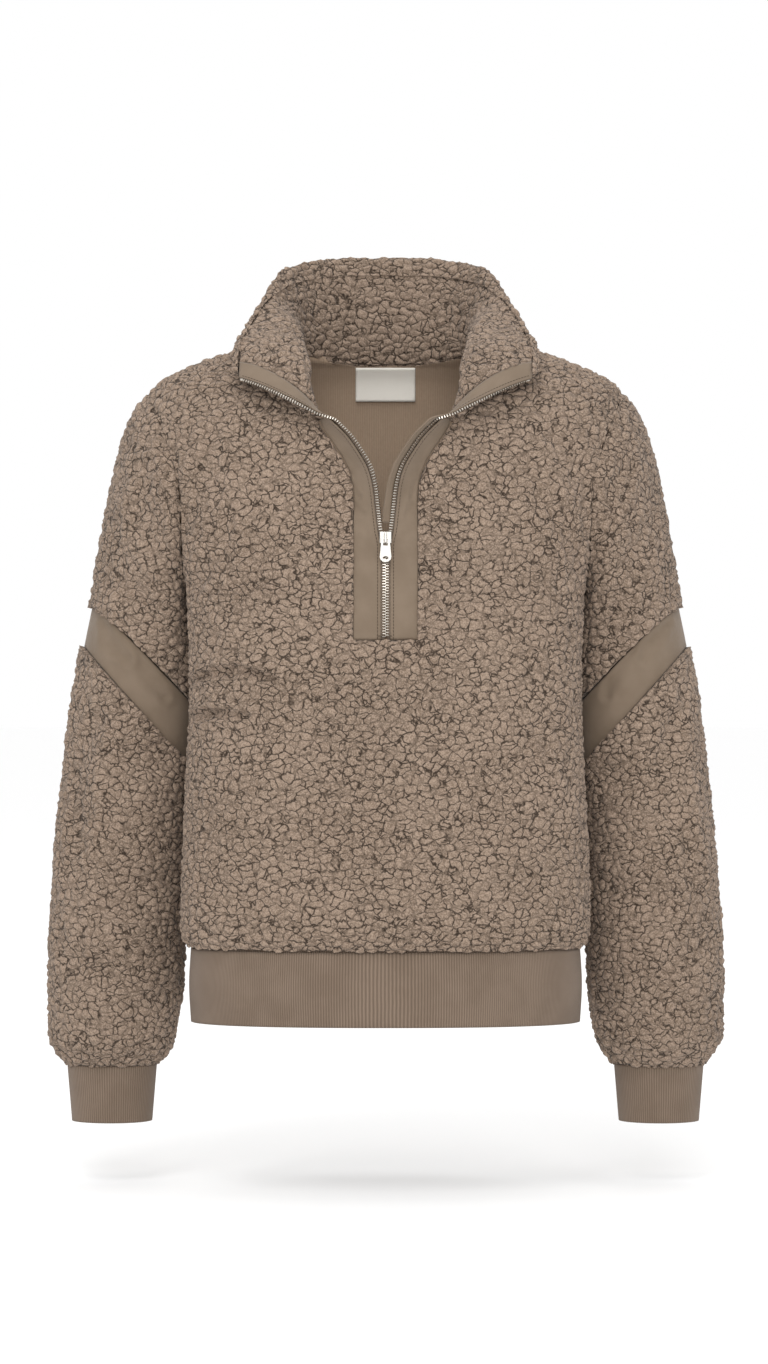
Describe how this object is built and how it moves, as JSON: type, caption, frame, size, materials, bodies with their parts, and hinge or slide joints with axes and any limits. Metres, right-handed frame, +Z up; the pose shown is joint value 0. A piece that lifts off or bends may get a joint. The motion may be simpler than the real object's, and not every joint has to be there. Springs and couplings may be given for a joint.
{
  "type": "half-zip sweatshirt",
  "caption": "Half-zip sherpa fleece sweatshirt with opened stand collar, woven placket and sleeve bands, rib cuffs and hem, filled out with no wearer.",
  "frame": {"origin": "midway between the two neck points, on the line across the shoulders where a wearer holds the garment up", "axes": "+X to the right of somebody who faces its front, +Y towards the back, +Z up"},
  "size_m": [0.6418, 0.2513, 0.826],
  "materials": {
    "sherpa": "curly sherpa pile, matt",
    "twill": "smooth woven twill",
    "rib": "fine rib knit",
    "zip_tape": "woven tape",
    "zip_metal": "polished silver-coloured metal",
    "label": "bare woven satin label"
  },
  "bodies": {
    "garment": {"front_panel": "sherpa", "back_panel": "sherpa", "sleeve_upper_left": "sherpa", "sleeve_upper_right": "sherpa", "sleeve_band_left": "twill", "sleeve_band_right": "twill", "sleeve_lower_left": "sherpa", "sleeve_lower_right": "sherpa", "cuff_left": "rib", "cuff_right": "rib", "hem_band": "rib", "collar_outer": "sherpa", "collar_inner": "sherpa", "placket_left": "twill", "placket_right": "twill", "facing_left": "twill", "facing_right": "twill", "zip_tape_left": "zip_tape", "zip_tape_right": "zip_tape", "zip_slider": "zip_metal", "neck_label": "label"},
    "pull_tab": {"zip_pull_tab": "zip_metal"}
  },
  "joints": [
    {"name": "tab_swing", "type": "hinge", "parent": "garment", "child": "pull_tab", "pos_m": [0, -0.1268, -0.1876], "axis": [1, 0, 0], "range_deg": [-160, 0]}
  ]
}
